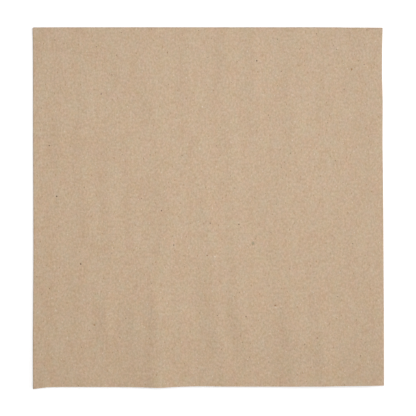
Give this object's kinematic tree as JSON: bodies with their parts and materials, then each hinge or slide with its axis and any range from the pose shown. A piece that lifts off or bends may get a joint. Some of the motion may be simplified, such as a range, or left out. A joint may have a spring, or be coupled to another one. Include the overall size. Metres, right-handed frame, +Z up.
{
  "type": "paper napkin",
  "caption": "Flat, nearly square beverage napkin of plain unbleached tissue paper, quarter-folded, with rounded folds along its left and back edges and cut edges opposite.",
  "frame": {"origin": "middle of the underside of the bounding box, on the surface that the napkin lies on", "axes": "+Z up out of the top leaf; +Y towards the back fold, where the pair of leaves turns over; +X towards the right cut edge, away from the left fold"},
  "size_m": [0.124, 0.1278, 0.0015],
  "materials": {
    "tissue": "matt unbleached kraft tissue with fine fibre specks"
  },
  "bodies": {
    "root": {"napkin": "tissue"}
  },
  "joints": []
}
